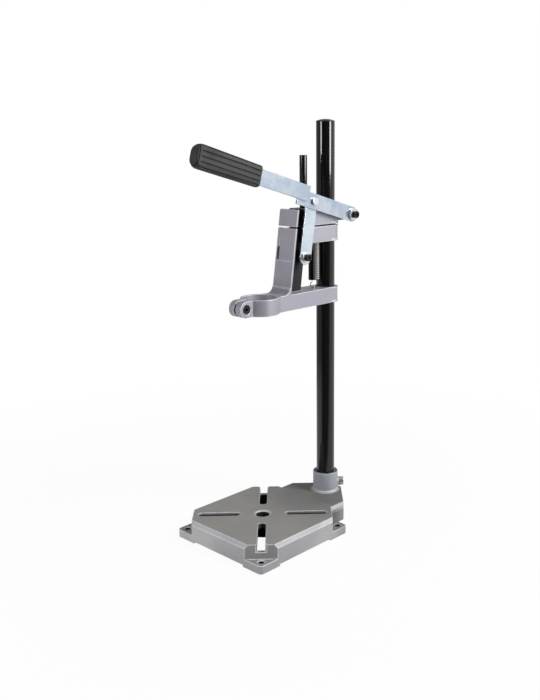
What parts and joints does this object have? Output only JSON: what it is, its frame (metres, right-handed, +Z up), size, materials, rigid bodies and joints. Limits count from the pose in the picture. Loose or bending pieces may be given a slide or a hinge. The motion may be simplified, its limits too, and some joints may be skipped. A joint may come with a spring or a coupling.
{
  "type": "drill stand",
  "caption": "Bench drill stand: slotted base, round column, clamped head and a lever-fed, spring-returned carriage with a neck collar.",
  "frame": {"origin": "on the bench plane, under the drill axis, at the centre of the four bench holes", "axes": "+Z up along the column, +Y from the drill axis to the column, +X to the side the lever bar is on"},
  "size_m": [0.159, 0.288, 0.5447],
  "materials": {
    "base_casting": "satin grey cast and tumbled",
    "head_casting": "fine satin casting",
    "black_steel": "glossy black oxide",
    "black_screw": "black oxide",
    "plain_screw": "plain zinc",
    "zinc_plate": "bluish bright zinc plate",
    "spring_steel": "bright spring wire",
    "black_plastic": "gloss",
    "grip_plastic": "matt charcoal"
  },
  "bodies": {
    "base": {"base_plate": "base_casting", "socket_screw": "plain_screw"},
    "column": {"column": "black_steel", "column_cap": "black_plastic"},
    "head": {"clamp_block": "head_casting", "block_grub_screw": "black_screw", "guide_rod": "black_steel", "pivot_bolt": "black_screw", "pivot_spacer": "zinc_plate", "pivot_washer": "zinc_plate", "pivot_nut": "black_screw", "return_spring": "spring_steel"},
    "carriage": {"carriage": "head_casting", "stop_rod": "black_steel", "collar_screw": "black_screw", "link_bolt": "black_screw", "link_washer": "zinc_plate", "carriage_nuts": "plain_screw"},
    "lever": {"lever_plate": "zinc_plate", "lever_bar": "zinc_plate", "lever_grip": "grip_plastic", "link_rivet": "zinc_plate"},
    "link": {"feed_link": "zinc_plate"}
  },
  "joints": [
    {"name": "column_turn", "type": "hinge", "parent": "base", "child": "column", "pos_m": [0, 0.124, 0], "axis": [0, 0, 1], "range_deg": [-180, 180]},
    {"name": "head_height", "type": "slide", "parent": "column", "child": "head", "axis": [0, 0, 1], "range_m": [-0.175, 0.1]},
    {"name": "carriage_feed", "type": "slide", "parent": "head", "child": "carriage", "axis": [0, 0, -1], "range_m": [0, 0.06], "stiffness_N_per_m": 1000, "springref_m": -0.06, "deforming": ["return_spring"]},
    {"name": "lever_swing", "type": "hinge", "parent": "head", "child": "lever", "pos_m": [0, 0.153, 0.418], "axis": [1, 0, 0], "range_deg": [0, 46.6]},
    {"name": "link_swing", "type": "hinge", "parent": "carriage", "child": "link", "pos_m": [0, 0.0642, 0.3673], "axis": [-1, 0, 0], "range_deg": [0, 7]}
  ],
  "couplings": [
    {"joint": "lever_swing", "follows": "carriage_feed", "rad_per_m": 13.547},
    {"joint": "link_swing", "follows": "carriage_feed", "rad_per_m": 2.02}
  ]
}
